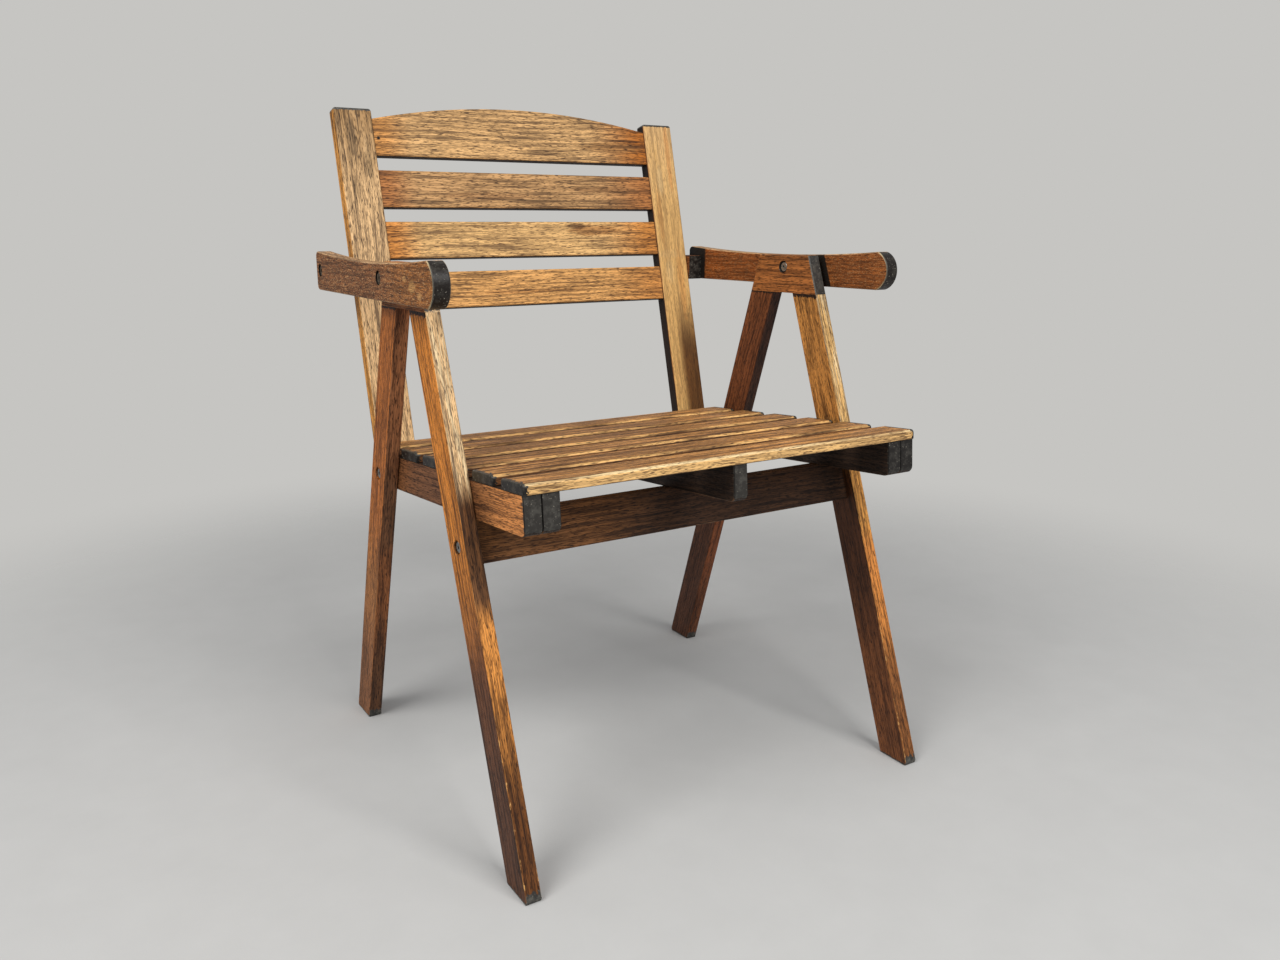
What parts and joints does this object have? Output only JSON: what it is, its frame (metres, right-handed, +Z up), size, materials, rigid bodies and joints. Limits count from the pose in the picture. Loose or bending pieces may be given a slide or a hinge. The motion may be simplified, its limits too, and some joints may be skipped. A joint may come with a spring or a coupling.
{
  "type": "folding armchair",
  "caption": "Wooden garden armchair with A-frame sides, slatted seat and reclined slatted back; the seat tips up and the back and arms follow.",
  "frame": {"origin": "centre of the chair's outline on the floor", "axes": "+Z up, -Y the way the sitter looks, +X to the right seen from the front"},
  "size_m": [0.6192, 0.5786, 0.8303],
  "materials": {
    "teak_legs": "oiled teak, worn pale on the front faces",
    "teak_arms": "oiled teak, darkened by hands",
    "teak_back": "oiled teak, brushed grain",
    "teak_seat_rails": "oiled teak, sealed black end grain",
    "teak_seat_slats": "oiled teak, edges worn pale, sealed black end grain",
    "zinc_plated_steel": "zinc plated"
  },
  "bodies": {
    "side_frames": {"front_leg_left": "teak_legs", "front_leg_right": "teak_legs", "rear_leg_left": "teak_legs", "rear_leg_right": "teak_legs", "leg_block_left": "teak_legs", "leg_block_right": "teak_legs", "front_stretcher": "teak_legs", "stretcher_bolts": "zinc_plated_steel", "stretcher_cross_dowels": "zinc_plated_steel", "arm_pivot_bolts": "zinc_plated_steel", "arm_pivot_sleeve_nuts": "zinc_plated_steel", "arm_pivot_washers": "zinc_plated_steel", "seat_pivot_bolts": "zinc_plated_steel", "seat_pivot_sleeve_nuts": "zinc_plated_steel"},
    "seat": {"seat_slat_1": "teak_seat_slats", "seat_slat_2": "teak_seat_slats", "seat_slat_3": "teak_seat_slats", "seat_slat_4": "teak_seat_slats", "seat_slat_5": "teak_seat_slats", "seat_slat_6": "teak_seat_slats", "outer_seat_rail_left": "teak_seat_rails", "outer_seat_rail_right": "teak_seat_rails", "inner_seat_rail_left": "teak_seat_rails", "inner_seat_rail_right": "teak_seat_rails", "centre_seat_rail": "teak_seat_rails", "back_pivot_bolts": "zinc_plated_steel", "back_pivot_sleeve_nuts": "zinc_plated_steel"},
    "backrest": {"back_stile_left": "teak_back", "back_stile_right": "teak_back", "crest_rail": "teak_back", "back_slat_1": "teak_back", "back_slat_2": "teak_back", "back_slat_3": "teak_back"},
    "arm_left": {"arm_left": "teak_arms", "arm_spacer_left": "teak_arms", "arm_rear_bolt_left": "zinc_plated_steel"},
    "arm_right": {"arm_right": "teak_arms", "arm_spacer_right": "teak_arms", "arm_rear_bolt_right": "zinc_plated_steel"}
  },
  "joints": [
    {"name": "seat_tip", "type": "hinge", "parent": "side_frames", "child": "seat", "pos_m": [0, 0.10819, 0.3744], "axis": [-1, 0, 0], "range_deg": [0, 42]},
    {"name": "back_fold", "type": "hinge", "parent": "seat", "child": "backrest", "pos_m": [0, 0.16943, 0.37783], "axis": [1, 0, 0], "range_deg": [0, 40.4]},
    {"name": "arm_left_swing", "type": "hinge", "parent": "side_frames", "child": "arm_left", "pos_m": [0, -0.00519, 0.621], "axis": [-1, 0, 0], "range_deg": [0, 10.92]},
    {"name": "arm_right_swing", "type": "hinge", "parent": "side_frames", "child": "arm_right", "pos_m": [0, -0.00519, 0.621], "axis": [-1, 0, 0], "range_deg": [0, 10.92]}
  ],
  "couplings": [
    {"joint": "back_fold", "follows": "seat_tip", "ratio": 0.962},
    {"joint": "arm_left_swing", "follows": "seat_tip", "ratio": 0.2599},
    {"joint": "arm_right_swing", "follows": "seat_tip", "ratio": 0.2599}
  ]
}
